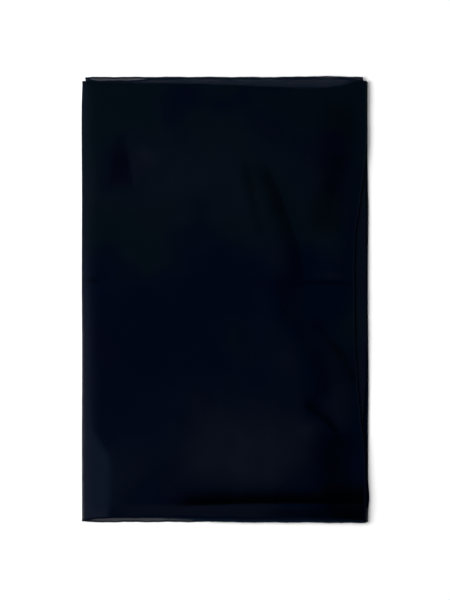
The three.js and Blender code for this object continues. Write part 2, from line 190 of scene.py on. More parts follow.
TABLE_SIDE = 8.0
TABLE_DROP = 0.0003  # room for the stitches under the lowest hems, on which the scarf rests
bm = bmesh.new()
bmesh.ops.create_grid(bm, x_segments=1, y_segments=1, size=TABLE_SIDE / 2)
bmesh.ops.translate(bm, verts=bm.verts, vec=(0, 0, cad_box[0].z - TABLE_DROP))
table = link("table", finished(bm, "table"))

paper = bpy.data.materials.new("pale table")
tree = nodes_of(paper)
look = {"Base Color": (0.93, 0.93, 0.93, 1), "Roughness": 0.9, "Specular IOR Level": 0.1}
surface = node(tree, "ShaderNodeBsdfPrincipled", **look)
node(tree, "ShaderNodeOutputMaterial", Surface=surface.outputs[0])
table.data.materials.append(paper)

# %% [markdown]
# ## The folded outline
#
# Four leaves lie one on another, and their hems don't line up: that is what makes a folded scarf look
# handled and not cut out. So each leaf gets its own edges. The tables below give them in millimetres,
# measured inwards from the outline: how far each long hem lies inside it at a share of the way across,
# and how far the free ends and the folds stop short of it from front to back. The first fold also
# stands open, more at one end than at the other. A smooth curve through a few rows gives each edge its
# sweep.

# %% Sizes of the cloth and of its outline, in millimetres
LEFT, RIGHT = -225.3, 227.4
FRONT, BACK = -350.3, 351.0
SOLID_WALL = 1.0  # what the solids give one leaf, whose middle this cloth keeps to
CLOTH = 0.3  # real thickness
LEAF_STEP = 1.8
HEM = {"width": 2.8, "thickness": 1.4, "gap": 0.3}
MARGIN = HEM["width"] + HEM["gap"]
LEVEL = {"bottom": 0, "second": 1, "third": 2, "top": 3}

# %% Where the long hems, the free ends and the folds lie
def listed(columns, *rows):
    """Rows of values as dictionaries that give each value its column's name."""
    return [dict(zip(columns.split(), row)) for row in rows]


LONG_HEMS = {
    "top": [
        (0.0, 7.6, 2.4), (0.04, 8.4, 6.8), (0.08, 9.0, 7.2), (0.13, 10.1, 8.6), (0.25, 11.0, 9.6),
        (0.4, 12.1, 8.7), (0.62, 15.6, 7.2), (0.76, 19.1, 6.9), (0.84, 19.2, 5.9), (0.9, 15.4, 4.6),
        (0.94, 11.8, 3.8), (0.975, 7.2, 3.1), (1.0, 7.4, 2.7),
    ],
    "third": [
        (0.0, 1.6, 7.6), (0.06, 0.9, 7.9), (0.15, 1.1, 7.6), (0.25, 1.0, 6.8), (0.35, 1.0, 3.6),
        (0.45, 1.0, 1.4), (0.6, 1.2, 0.8), (0.74, 0.9, 0.7), (0.79, 0.1, 0.6), (0.84, 0.0, 0.4),
        (0.92, 0.0, 0.0), (0.97, 0.7, 0.1), (1.0, 1.4, 0.2),
    ],
    "second": [
        (0.0, 1.6, 7.6), (0.02, 5.0, 7.8), (0.045, 6.4, 8.1), (0.1, 6.3, 8.1), (0.17, 5.8, 7.9),
        (0.25, 2.6, 7.4), (0.35, 1.4, 5.8), (0.5, 1.6, 2.8), (0.6, 2.0, 1.7), (0.8, 2.4, 1.2),
        (0.94, 3.2, 0.9), (1.0, 8.0, 0.9),
    ],
    "bottom": [
        (0.0, 7.6, 2.4), (0.03, 8.4, 0.5), (0.085, 9.6, 0.6), (0.2, 11.6, 0.8), (0.3, 12.6, 0.9),
        (0.42, 13.5, 1.1), (0.52, 14.1, 2.8), (0.6, 14.7, 4.2), (0.7, 15.5, 3.2), (0.88, 16.0, 1.6),
        (1.0, 8.0, 0.9),
    ],
}
LONG_HEMS = {leaf: listed("across back front", *rows) for leaf, rows in LONG_HEMS.items()}
RIGHT_ENDS = listed(
    "y top third fold open",
    (-350, 6.0, 6.3, 2.2, 2.4), (-333, 6.1, 7.2, 1.7, 3.0), (-311, 6.2, 8.2, 0.0, 3.3),
    (-285, 6.4, 9.4, 1.6, 2.4), (-240, 7.5, 11.2, 1.9, 1.1), (-197, 12.4, 10.8, 2.0, 0.6),
    (-163, 16.0, 7.9, 1.7, 0.5), (-130, 18.8, 6.0, 1.4, 0.5), (-71, 22.5, 4.7, 1.7, 0.5),
    (0, 23.5, 4.8, 2.3, 0.4), (62, 23.7, 4.9, 2.2, 0.4), (102, 22.2, 5.1, 1.9, 0.3),
    (149, 15.5, 5.3, 1.6, 0.1), (176, 11.6, 5.6, 2.3, 0.0), (204, 8.4, 5.7, 2.6, 0.0),
    (232, 5.0, 5.8, 2.7, 0.0), (280, 4.6, 6.0, 2.8, 0.0), (335, 4.8, 7.0, 2.8, 0.0),
    (350, 5.6, 11.0, 2.8, 0.0),
)
LEFT_FOLDS = listed(
    "y outer inner",
    (-350, 0.6, 42.0), (-312, 0.4, 44.0), (-262, 0.3, 46.0), (-240, 0.2, 41.0), (-222, 0.2, 28.0),
    (-205, 0.2, 18.0), (-180, 0.3, 12.6), (-90, 0.6, 10.2), (30, 0.15, 11.4), (160, 0.4, 10.6),
    (300, 0.0, 11.0), (350, 1.6, 5.6),
)
OUTER_BULGE = 1.9  # how far the outer fold's nose stands past the ends of its leaves
BULGE = LEAF_STEP / 2  # the same for the other folds: half the height that they turn through


def ease(t):
    """From 0 to 1, gently at both ends."""
    t = np.clip(t, 0, 1)
    return t * t * (3 - 2 * t)


def mix(a, b, t):
    return a + (b - a) * t


def curve_through(rows, key, column, at):
    """A smooth curve through one column of a table, whose rows are in order of their key."""
    keys, values = (np.array([row[name] for row in rows], float) for name in (key, column))
    count = len(rows)
    before = np.maximum(np.arange(count) - 1, 0)
    after = np.minimum(np.arange(count) + 1, count - 1)
    slopes = (values[after] - values[before]) / (keys[after] - keys[before])
    at = np.clip(at, keys[0], keys[-1])
    i = np.clip(np.searchsorted(keys, at, side="right") - 1, 0, count - 2)
    span = keys[i + 1] - keys[i]
    t = (at - keys[i]) / span
    start = (2 * t**3 - 3 * t**2 + 1) * values[i] + (t**3 - 2 * t**2 + t) * span * slopes[i]
    end = (3 * t**2 - 2 * t**3) * values[i + 1] + (t**3 - t**2) * span * slopes[i + 1]
    return start + end


def leaf_left(leaf, y):
    """Where a leaf's flat stretch ends on the left."""
    fold, bulge = ("inner", BULGE) if leaf in ("second", "third") else ("outer", OUTER_BULGE)
    return LEFT + curve_through(LEFT_FOLDS, "y", fold, y) + SOLID_WALL / 2 + bulge


def leaf_right(leaf, y):
    """Where a leaf's flat stretch ends on the right: at the first fold, or at its free end's hem."""
    if leaf in ("top", "third"):
        return RIGHT - curve_through(RIGHT_ENDS, "y", leaf, y) - MARGIN
    return RIGHT - curve_through(RIGHT_ENDS, "y", "fold", y) - SOLID_WALL / 2 - BULGE


print(f"the top leaf is {leaf_right('top', 0) - leaf_left('top', 0):.0f} mm across in its middle")

# %% [markdown]
# ## Heights: swells, creases and slack
#
# Real cloth that was folded in a packet keeps a memory of it. It stands up in soft swells and is
# pinched back down along its creases. Here a swell is a smooth hill, and a crease is a line with two
# flanks that takes a share of that height away. A keen crease has a narrow flank on the side away
# from the light, which draws a dark line in the picture; painted shade along the crease makes that
# line darker.

# %% Swells, creases and wrinkles of the top leaf
SWELLS = listed(
    "name x y long short turn rise",
    ("all over", 0, 0, 420, 700, 0, 0.7),
    ("lower middle", 33, -240, 112, 85, 0, 4.0),
    ("upper middle", -20, 190, 150, 75, 0, 2.0),
    ("left of upper crease", 66, 115, 105, 30, -69, 1.2),
    ("left of lower crease", 92, -75, 95, 30, -70, 1.1),
    ("right of upper crease", 160, 150, 95, 34, -86, 1.4),
    ("right of lower crease", 172, -140, 60, 26, -75, 1.6),
    ("knob under the hook", 134, -206, 18, 14, -30, 1.6),
    ("half fold, right", 168, 36, 46, 6, -1, 1.4),
    ("lower left corner", -172, -285, 62, 44, 80, 2.4),
    ("upper left", -118, 228, 26, 14, -35, 1.3),
)
# A pair is millimetres before and after a crease's line: how far it pulls the cloth down (flanks), and
# how wide the painted shade along it is (shade). share is what it takes of the height, and dark how
# much of the colour that painted shade takes.
CREASES = listed(
    "name runs line flanks share fade power shade dark",
    ("front groove", "across", [(-98, -323), (-50, -321), (60, -318), (262, -318)],
     (7, 30), 0.97, 55, 1.1, (2.2, 22), 0.98),
    ("long, upper", "down", [(121, 2), (117, 67), (102, 117), (86, 162), (60, 222)],
     (30, 36), 0.85, 40, 1.3, (28, 5), 0.38),
    ("beside it, fainter", "down", [(64, 85), (50, 135), (38, 190), (34, 230)],
     (18, 16), 0.35, 30, 1.5, (12, 9), 0.2),
    ("long, lower", "down", [(138, -180), (146, -134), (137, -97), (118, -59), (94, -21), (80, 52)],
     (20, 36), 0.78, 35, 1.35, (5, 36), 0.28),
    ("hook", "across", [(118, -160), (146, -180), (168, -200), (188, -234)],
     (20, 14), 0.78, 18, 1.5, (6, 19), 0.65),
    ("lower right fall", "down", [(182, -352), (174, -300), (170, -250), (174, -196)],
     (40, 38), 0.85, 26, 2.1, (30, 33), 0.6),
    ("to the free end", "down", [(214, -150), (190, -97), (152, -46), (140, -20)],
     (22, 26), 0.65, 28, 1.6, (12, 12), 0.4),
    ("half fold, right", "across", [(112, 27), (216, 25)],
     (11, 7), 0.85, 16, 1.3, (3, 3), 0.5),
    ("half fold, left", "across", [(-226, 31), (-190, 28)],
     (7, 5), 0.8, 14, 1.2, (4, 4), 0.6),
    ("upper left dent", "down", [(-161, 160), (-160, 255)],
     (19, 17), 0.6, 38, 2, (17, 15), 0.35),
    ("upper left dent, its left side", "down", [(-180, 165), (-174, 205), (-167, 232), (-161, 268)],
     (7, 12), 0.3, 26, 1.5, (4, 12), 0.15),
    ("upper left dent, its right side", "down", [(-143, 165), (-148, 205), (-155, 232), (-161, 268)],
     (12, 7), 0.4, 26, 1.4, (12, 4), 0.15),
    ("upper right dip", "down", [(165, 80), (165, 150), (177, 220), (184, 330)],
     (40, 30), 0.75, 50, 1.8, (36, 26), 0.4),
)
# Bands of painted shade that no crease makes: they darken the colour and leave the height alone.
SHADES = listed(
    "name runs line fade shade dark",
    ("lower right corner, pressed flat", "down", [(208, -385), (208, -275)], 30, (42, 30), 0.75),
    ("in front of the groove", "across", [(40, -338), (300, -338)], 60, (14, 14), 0.45),
)
for crease in CREASES + SHADES:
    crease["line"] = listed("x y", *crease["line"])
LETS_GO = 1.6  # a crease's hold at its flank is e to the power of minus this, a fifth
SHADE_POWER = 2.4  # a crease's painted shade is flatter in its middle than the crease itself
# The painted shade is made uneven over cells of this size.
SHADE_MOTTLE = {"cell": 20, "share": 0.55, "seed": 5}
SLACK = listed("cell share", (62, 0.24), (27, 0.15), (12, 0.05))
SLACK_RUNS = (0.8, 0.6)  # which way the slack's own grid is turned
LATTICE = {"cells": 90, "middle": 40}
TOP_EDGES = {"hem_inset": 8, "back": 26, "front": 18, "right": 34, "kept": 0.12}
SHOULDER = {"past_inner_fold": 10, "drop": 1.7, "held_up_within": 11}
FOLD_SWELL = {"reach": 34, "nose": 8, "inner": 0.35}
RIPPLE = {"second": 0.2, "third": 0.3, "length_x": 150, "length_y": 210, "fade_in": 20}
HEM_LIFT = {"near": 14, "far": 40}


def crease_hold(crease, x, y, reach, power):
    """How strong a crease is: 1 on its line, a fifth of that so far before or after it, 0 at its ends."""
    key, column = ("y", "x") if crease["runs"] == "down" else ("x", "y")
    at, beside = (y, x) if crease["runs"] == "down" else (x, y)
    line = crease["line"]
    past = beside - curve_through(line, key, column, at)
    ends = ease((at - line[0][key]) / crease["fade"]) * ease((line[-1][key] - at) / crease["fade"])
    return np.exp(-LETS_GO * (np.abs(past) / np.where(past < 0, *reach)) ** power) * ends


def swell(s, x, y):
    turn = math.radians(s["turn"])
    along = (x - s["x"]) * math.cos(turn) + (y - s["y"]) * math.sin(turn)
    across = (y - s["y"]) * math.cos(turn) - (x - s["x"]) * math.sin(turn)
    return s["rise"] * np.exp(-((along / s["long"]) ** 2) - (across / s["short"]) ** 2)


def drift(x, y, cell, seed):
    """Smooth random values between -1 and 1 that change over about one cell."""
    lattice = np.random.default_rng(seed).uniform(-1, 1, (LATTICE["cells"], LATTICE["cells"]))
    u, v = x / cell + LATTICE["middle"], y / cell + LATTICE["middle"]
    i, j = np.floor(u).astype(int), np.floor(v).astype(int)
    a, b = ease(u - i), ease(v - j)
    return mix(mix(lattice[i, j], lattice[i + 1, j], a), mix(lattice[i, j + 1], lattice[i + 1, j + 1], a), b)


def wrinkles(x, y):
    """The cloth's own unevenness: how much more or less than its swells it stands up."""
    c, s = SLACK_RUNS
    u, v = c * x + s * y, c * y - s * x
    return 1 + sum(s["share"] * drift(u, v, s["cell"], s["cell"]) for s in SLACK)


def let_through(x, y):
    """The share of the height that all creases together leave."""
    return math.prod(1 - c["share"] * crease_hold(c, x, y, c["flanks"], c["power"]) for c in CREASES)


def painted_shade_share(x, y):
    """How much of its colour the cloth loses to painted shade along its creases and in a few patches."""
    bands = (s["dark"] * crease_hold(s, x, y, s["shade"], SHADE_POWER) for s in CREASES + SHADES)
    left = math.prod(1 - band for band in bands)
    uneven = SHADE_MOTTLE["share"] * drift(x, y, SHADE_MOTTLE["cell"], SHADE_MOTTLE["seed"])
    return (1 - left) * (1 + uneven * left)


def standing(x, y):
    """How far the top leaf stands off the third one where no edge holds it down."""
    return sum(swell(s, x, y) for s in SWELLS) * wrinkles(x, y) * let_through(x, y)


def edge_share(x, y):
    """How much of that the top leaf keeps as it comes down to its hems and its free end."""

    def fall(distance, reach):
        return mix(TOP_EDGES["kept"], 1, ease(distance / reach))

    back = fall(BACK - TOP_EDGES["hem_inset"] - y, TOP_EDGES["back"])
    front = fall(y - FRONT - TOP_EDGES["hem_inset"], TOP_EDGES["front"])
    return back * front * fall(leaf_right("top", y) - x, TOP_EDGES["right"])


def ripple(x, y):
    """Slack that comes and goes across a leaf, from 0 to 1."""
    across = 0.5 + 0.5 * np.sin(2 * np.pi * x / RIPPLE["length_x"])
    return across * (0.5 + 0.5 * np.sin(2 * np.pi * y / RIPPLE["length_y"]))


def leaf_height(leaf, x, y):
    """The height of the middle of a leaf."""
    level = LEVEL[leaf]
    past_hem = np.minimum(y - FRONT, BACK - y) - HEM_LIFT["near"]
    into_field = ease(past_hem / (HEM_LIFT["far"] - HEM_LIFT["near"]))
    beside_nose = ease((leaf_right("second", y) - x) / FOLD_SWELL["nose"])
    near_first_fold = (1 - ease((RIGHT - x) / FOLD_SWELL["reach"])) * beside_nose
    near_inner_fold = 1 - ease((x - leaf_left("second", y)) / FOLD_SWELL["reach"])
    slack = ripple(x, y)
    z = SOLID_WALL / 2 + level * LEAF_STEP + (HEM["thickness"] - SOLID_WALL) / 2 * (1 - into_field)
    if level >= LEVEL["second"]:
        z = z + RIPPLE["second"] * slack + curve_through(RIGHT_ENDS, "y", "open", y) * near_first_fold
    if level >= LEVEL["third"]:
        z = z + RIPPLE["third"] * (1 - slack) * ease((x - leaf_left("third", y)) / RIPPLE["fade_in"])
    if leaf == "top":
        to_inner_fold = leaf_left("second", y) - LEFT
        shoulder = to_inner_fold + SHOULDER["past_inner_fold"]
        rolled = np.clip(1 - (x - leaf_left("top", y)) / shoulder, 0, 1)
        drop = SHOULDER["drop"] * np.minimum(1, to_inner_fold / SHOULDER["held_up_within"])
        z = z + FOLD_SWELL["inner"] * near_inner_fold - drop * rolled**2
        z = z + standing(x, y) * edge_share(x, y) * (1 - ease(rolled))
    return z


for kind, rows in (("swells", SWELLS), ("creases", CREASES), ("shades", SHADES)):
    print(f"{kind}: {'; '.join(row['name'] for row in rows)}")

# %% [markdown]
# ## The way along the cloth
#
# Walk along the scarf from one free end to the other and you cross the top leaf, turn down through
# the outer fold, come back along the bottom leaf, and so on to the third leaf's end. Each stretch of
# that way is a row below. A point of the cloth is then a stretch, how far through it we are, and a
# distance from front to back. A fold is a Bezier curve that leaves each leaf along its own slope, so
# the cloth has no kink where it starts to turn.

# %% The way, and a point on it
WAY = [
    {"part": "end", "leaf": "top", "outside": 0.0, "columns": 2},
    {"part": "leaf", "leaf": "top", "runs": -1, "columns": 176},
    {"part": "fold", "side": "left", "from": "top", "to": "bottom", "columns": 20},
    {"part": "leaf", "leaf": "bottom", "runs": 1, "columns": 18},
    {"part": "fold", "side": "right", "from": "bottom", "to": "second", "columns": 10},
    {"part": "leaf", "leaf": "second", "runs": -1, "columns": 18},
    {"part": "fold", "side": "left", "from": "second", "to": "third", "columns": 10},
    {"part": "leaf", "leaf": "third", "runs": 1, "columns": 28},
    {"part": "end", "leaf": "third", "outside": 1.0, "columns": 2},
]
NOSE_SHARE = 0.75  # a fold's nose stands out by three quarters of its Bezier handles
SLOPE_STEP = 0.5


def fold_point(fold, t, y):
    """A point in the middle of a fold."""
    outwards = -1 if fold["side"] == "left" else 1
    edge = leaf_left if fold["side"] == "left" else leaf_right
    reach = (OUTER_BULGE if fold["from"] == "top" else BULGE) / NOSE_SHARE

    def end(leaf):
        x = edge(leaf, y)
        z = leaf_height(leaf, x, y)
        slope = (z - leaf_height(leaf, x - outwards * SLOPE_STEP, y)) / SLOPE_STEP
        return (x, z), (x + outwards * reach, z + reach * slope)

    (a, b), (d, c) = end(fold["from"]), end(fold["to"])
    weights = ((1 - t) ** 3, 3 * t * (1 - t) ** 2, 3 * t**2 * (1 - t), t**3)
    x, z = (sum(w * v for w, v in zip(weights, values)) for values in zip(a, b, c, d))
    return np.stack(np.broadcast_arrays(x, y, z), -1)


def cloth_point(stretch, t, y):
    """A point in the middle of the cloth, t of the way through a stretch and y from front to back."""
    if stretch["part"] == "fold":
        return fold_point(stretch, t, y)
    leaf = stretch["leaf"]
    left, right = leaf_left(leaf, y), leaf_right(leaf, y)
    if stretch["part"] == "leaf":
        x = mix(left, right, t if stretch["runs"] > 0 else 1 - t)
    else:
        x = right + MARGIN * (1 - np.abs(t - stretch["outside"]))
    return np.stack(np.broadcast_arrays(x, y, leaf_height(leaf, x, y)), -1)


def long_edge(side, stretch, t):
    """The y of a long hem's outer edge."""
    if stretch["part"] == "fold":
        across = 0.0 if stretch["side"] == "left" else 1.0
        ends = (curve_through(LONG_HEMS[stretch[leaf]], "across", side, across) for leaf in ("from", "to"))
        inset = mix(*ends, t)
    else:
        across = 1.0 + 0 * t
        if stretch["part"] == "leaf":
            across = t if stretch["runs"] > 0 else 1 - t
        inset = curve_through(LONG_HEMS[stretch["leaf"]], "across", side, across)
    return BACK - inset if side == "back" else FRONT + inset


def cloth_frame(stretch, t, y):
    """A point of the cloth with its three directions: along the way, towards the back, and off its face."""
    small_t, small_y = 1e-3, 0.05
    first = np.maximum(t - small_t, 0)
    last = np.minimum(t + small_t, 1)
    along = cloth_point(stretch, last, y) - cloth_point(stretch, first, y)
    across = cloth_point(stretch, t, y + small_y) - cloth_point(stretch, t, y - small_y)
    off = np.cross(along, across)
    along, off = (v / np.linalg.norm(v, axis=-1, keepdims=True) for v in (along, off))
    return cloth_point(stretch, t, y), along, np.cross(off, along), off


# %% [markdown]
# ## The cloth
#
# The woven panel starts as the flat cut: one bmesh grid with a column for each step along the way and
# a row for each step across. Its vertices then move to where the fold function says. The columns are
# close together on the top leaf, which shows, and wide apart on the leaves that are hidden. The flat
# cut also gives the UV map in metres, so the weave keeps its true scale through every fold.

# %% Rows from front to back, close together where the cloth creases
# Front edge, groove, field, half fold, field and back edge
BANDS = listed("depth rows", (15, 8), (26, 15), (308, 68), (34, 14), (270, 54), (39, 12))
band_steps = [band["depth"] / band["rows"] for band in BANDS for _ in range(band["rows"])]
ROW_SHARES = np.concatenate([[0], np.cumsum(band_steps)]) / sum(band_steps)
END_PULL = 0.05  # the columns of a leaf lie closer together at its two ends
HEM_MIDDLE = HEM["width"] / 2
IN_END_HEM = 0.5  # share of the margin after which the cloth of a free end starts, inside its hem


def column_places(stretch):
    """The shares of a stretch at which it has a column, without its first one."""
    t = np.linspace(0, 1, stretch["columns"] + 1)[1:]
    return t - END_PULL * np.sin(2 * np.pi * t) if stretch["part"] == "leaf" else t


def cloth_columns():
    """The points of each column from one free end's hem to the other's, and the stretch it belongs to."""
    columns, stretches = [], []
    for i, stretch in enumerate(WAY):
        places = column_places(stretch)
        if i == 0:
            places = np.linspace(IN_END_HEM, 1, stretch["columns"] + 1)
        if i == len(WAY) - 1:
            places = places * IN_END_HEM
        for t in places:
            front = long_edge("front", stretch, t) + HEM_MIDDLE
            back = long_edge("back", stretch, t) - HEM_MIDDLE
            columns.append(cloth_point(stretch, t, mix(front, back, ROW_SHARES)))
            stretches.append(stretch)
    return np.array(columns), stretches


def unit_grid(columns, rows):
    """A bmesh grid with so many columns and rows of vertices, and the column and row of each vertex."""
    bm = bmesh.new()
    bmesh.ops.create_grid(bm, x_segments=columns - 1, y_segments=rows - 1, size=0.5)
    bm.verts.index_update()
    flat = np.array([v.co for v in bm.verts]) + 0.5
    column = np.rint(flat[:, 0] * (columns - 1)).astype(int)
    row = np.rint(flat[:, 1] * (rows - 1)).astype(int)
    return bm, column, row


def distance_along(points):
    """How far each point of a line lies from its first one."""
    return np.concatenate([[0], np.cumsum(np.linalg.norm(np.diff(points, axis=0), axis=-1))])


def placed(bm, surface, column, row, uv_of):
    """Moves a unit grid to its places on a surface, gives it its UV map, and smooths it."""
    uv = bm.loops.layers.uv.new("flat_cut")
    for face in bm.faces:
        face.smooth = True
        for loop in face.loops:
            k = loop.vert.index
            loop[uv].uv = uv_of(column[k], row[k])
    for vertex in bm.verts:
        vertex.co = surface[column[vertex.index], row[vertex.index]]


folded, stretches = cloth_columns()
columns = folded * MM
column_count, row_count = columns.shape[:2]
flat_u = distance_along(columns[:, row_count // 2])
flat_v = ROW_SHARES * np.linalg.norm(columns[0, -1] - columns[0, 0])
bm, column, row = unit_grid(column_count, row_count)
placed(bm, columns, column, row, lambda i, j: (flat_u[i], flat_v[j]))
woven_cloth = link("woven_cloth", finished(bm, "woven_cloth"))
print(f"flat cut {flat_u[-1]:.3f} by {flat_v[-1]:.3f} m, {column_count} columns by {row_count} rows")

# %% [markdown]
# ## What the cloth knows about itself
#
# The look of this cloth depends on how it lies, so it carries a few masks. Where the top leaf stands
# off the others its colour is painted paler and greyer, which is painted light (lift); the strip in
# front of the groove and the third leaf beside its free end get painted light too. Along the top
# leaf's creases, and in a few bands, painted shade darkens it to nearly black. Near a hem the stitches
# pucker it (from_hem and hem_run). Where fewer than four leaves lie over the table its white shows
# through (sheer): along the long hems of the three lower leaves, and in the loop of the outer fold, left
# of the inner one. There its colour is also painted bluer, for the light that comes through, and near
# the outer fold's nose a glow is painted (glow). Only the sheer faces get the see-through material.
# Everywhere else four dark leaves lie on each other and nothing comes through.

# %% Masks stored on the cloth
LOFT = {"flat": 0.6, "full": 4.2}  # mm off the leaf below where the painted light starts, and is full
EDGE_KEEPS = 0.4  # power of the edges' share: cloth that comes down to an edge keeps its painted light longer
# Painted light on the strip between the groove and the front hem, which faces the lamp
FRONT_LIP = {"pale": 0.6, "left": -205, "right": 60, "fade": 60, "depth": 24, "keenness": 2}
INNER_END = {"pale": 0.6, "reach": 32, "fade": 20}  # painted light, third leaf by its free end
SHEER = {"edge": 19, "edge_fade": 6, "short_of_nose": 7, "nose_fade": 12, "inside": 0.85, "nose_reach": 12}
BACK_MARGIN = {"x": (-160, -110, 198, 210), "sheer": (0.85, 1.0, 1.0, 0.3)}  # gathered a little at its ends
# open: how sheer the loop is. glow and reach: the glow painted in it, and how far in that goes.
OUTER_LOOP = listed(
    "y open glow reach",
    (-350, 1.0, 0.9, 7.0),
    (-240, 1.0, 0.9, 7.0),
    (-190, 1.0, 1.0, 9.5),
    (-20, 0.8, 1.0, 7.0),
    (110, 0.3, 0.5, 4.0),
    (350, 0.3, 0.5, 3.0),
)


def loop(column, y):
    """How open the outer fold's loop is, how strong its painted glow is, and how far that reaches into it."""
    return curve_through(OUTER_LOOP, "y", column, y)


def sheerness(stretch, x, y, from_long_hem):
    """1 where light from the table can come up through this part of the cloth, 0 where it can't."""
    leaves = {stretch.get("leaf"), stretch.get("from"), stretch.get("to")}
    to_inner_fold = 1 - ease((x - (leaf_left("second", y) - SHEER["short_of_nose"])) / SHEER["nose_fade"])
    at_nose = mix(1, SHEER["inside"], ease((x - LEFT) / SHEER["nose_reach"]))
    in_loop = loop("open", y) * at_nose * to_inner_fold if leaves & {"top", "bottom"} else 0 * x
    near_edge = 1 - ease((from_long_hem - SHEER["edge"]) / SHEER["edge_fade"])
    near_edge = near_edge * np.where(y > 0, np.interp(x, BACK_MARGIN["x"], BACK_MARGIN["sheer"]), 1)
    return in_loop if "top" in leaves else np.maximum(in_loop, near_edge)


def painted_loop_glow(x, y):
    """How strongly the painted glow lights the outer fold's loop, from its nose inwards."""
    return loop("glow", y) * np.exp(np.minimum(LEFT - x, 0) / loop("reach", y))


def painted_lip_light(x, y):
    """Painted light on the strip between the groove and the front hem, fading out towards both ends."""
    fade = FRONT_LIP["fade"]
    side = ease((x - FRONT_LIP["left"]) / fade) * ease((FRONT_LIP["right"] - x) / fade + 1)
    inside = 1 - (y - FRONT) / FRONT_LIP["depth"]
    return FRONT_LIP["pale"] * side * ease(FRONT_LIP["keenness"] * inside + 1)


def painted_light_share(stretch, x, y):
    """Painted light: paler where the top leaf stands up, at the front lip and at the inner free end."""
    if stretch.get("leaf") == "third":
        return INNER_END["pale"] * ease((x - RIGHT + INNER_END["reach"]) / INNER_END["fade"])
    if stretch.get("leaf") != "top":
        return 0 * x
    loft = standing(x, y) * edge_share(x, y) ** EDGE_KEEPS
    raised = (loft - LOFT["flat"]) / (LOFT["full"] - LOFT["flat"])
    return np.clip(np.maximum(raised, painted_lip_light(x, y)), 0, 1)


def masks_of(stretch, points, along):
    """The masks of one column of the cloth."""
    x, y = points[:, 0], points[:, 1]
    across = distance_along(points)
    from_long_hem = np.minimum(across, across[-1] - across)
    from_end = np.minimum(along, flat_u[-1] / MM - along)
    return {
        "lift": painted_light_share(stretch, x, y),
        "glow": painted_loop_glow(x, y),
        "pressed": painted_shade_share(x, y) if stretch.get("leaf") == "top" else 0 * x,
        "sheer": sheerness(stretch, x, y, from_long_hem),
        "from_hem": np.minimum(from_long_hem, from_end) * MM,
        "hem_run": np.where(from_long_hem < from_end, along, across) * MM,
    }


cloth_mesh = woven_cloth.data
every_mask = [masks_of(*place) for place in zip(stretches, folded, flat_u / MM)]
masks = {name: np.array([m[name] for m in every_mask]) for name in every_mask[0]}
for name, values in masks.items():
    layer = cloth_mesh.attributes.new(name, "FLOAT", "POINT")
    layer.data.foreach_set("value", values[column, row].astype(np.float32))
OPAQUE, SEE_THROUGH = 0, 1
see_through = masks["sheer"][column, row] > 0
for polygon in cloth_mesh.polygons:
    polygon.material_index = SEE_THROUGH if see_through[list(polygon.vertices)].any() else OPAQUE
wall = woven_cloth.modifiers.new("cloth thickness", "SOLIDIFY")
wall.thickness = CLOTH * MM
wall.offset = 0
wall.use_even_offset = False
see_through_share = np.mean([p.material_index for p in cloth_mesh.polygons])
print(f"{len(cloth_mesh.polygons)} faces, {see_through_share:.0%} of them see-through")

# %% [markdown]
# ## The rolled hems
#
# A rolled hem is the cloth's own edge turned over twice and stitched down, so it is a thin, slightly
# flat tube. It is never quite even: it pinches at each stitch and wanders a little. The tube is made
# as another unit grid, wrapped round and carried along the same way as the cloth. On the three lower
# leaves the long hems lie with nothing dark under them, so there they too let light through.

# %% Hems
HEM_ROLL = {"width": 2.7, "thickness": 1.15, "ring_step": 0.85, "fewest_steps": 3, "sides": 12}
WELD = 1e-7  # metres, to close the tube where its grid meets itself
STITCH = {"pitch": 3.4, "length": 2.5, "thread": 0.34, "inset": 1.0}
ROLL_SECTION_POWER = 0.85  # below 1 the section is squarer than an ellipse
PINCH = {"share": 0.22, "sharpness": 3, "spares_edge_to": 0.4}
WANDER = listed("length sideways thickness", (61.0, 0.28, 0.05), (23.0, 0.14, 0.05), (9.7, 0.07, 0.06))
WANDER_SHIFT = 1.7  # radians between one wave and the next
MEASURED_AT = 60  # places along a stretch that its length is taken from
INWARDS = {"back": -1, "front": 1}


def ring_places(stretch):
    """The shares of a stretch at which a hem has a ring, without its first one."""
    length = distance_along(cloth_point(stretch, np.linspace(0, 1, MEASURED_AT), 0.0))[-1]
    steps = max(HEM_ROLL["fewest_steps"], round(length / HEM_ROLL["ring_step"]))
    return np.linspace(0, 1, steps + 1)[1:]


def joined_frames(frames):
    """The frames of several stretches, one after another."""
    return [np.concatenate(parts) for parts in zip(*frames)]


def long_hem_line(side):
    """The frames of a long hem's middle line, from one free end to the other."""
    frames = []
    for i, stretch in enumerate(WAY):
        places = ring_places(stretch)
        if i == 0:
            places = np.concatenate([[0.0], places])
        y = long_edge(side, stretch, places) + INWARDS[side] * HEM_MIDDLE
        frames.append(cloth_frame(stretch, places, y))
    point, along, across, off = joined_frames(frames)
    return point, along, -INWARDS[side] * across, off


def end_hem_line(stretch):
    """The frames of a free end's hem, from the front long hem to the back one."""
    t = HEM_MIDDLE / MARGIN
    t = t if stretch["outside"] == 0 else 1 - t
    y0 = long_edge("front", stretch, t) + MARGIN
    y1 = long_edge("back", stretch, t) - MARGIN
    y = np.linspace(y0, y1, round((y1 - y0) / HEM_ROLL["ring_step"]))
    point, along, across, off = cloth_frame(stretch, np.full_like(y, t), y)
    outwards = -along if stretch["outside"] == 0 else along
    return point, across, outwards, off


def wander(distance, column, seed):
    """A slow unevenness along a hem."""
    turns = (2 * np.pi * distance / w["length"] + WANDER_SHIFT * k + seed for k, w in enumerate(WANDER))
    return sum(w[column] * np.sin(turn) for w, turn in zip(WANDER, turns))


def pinch_at(distance):
    """How tightly the thread holds the hem: 0 between two stitches, 1 where the needle went through."""
    return (0.5 + 0.5 * np.cos(2 * np.pi * distance / STITCH["pitch"])) ** PINCH["sharpness"]


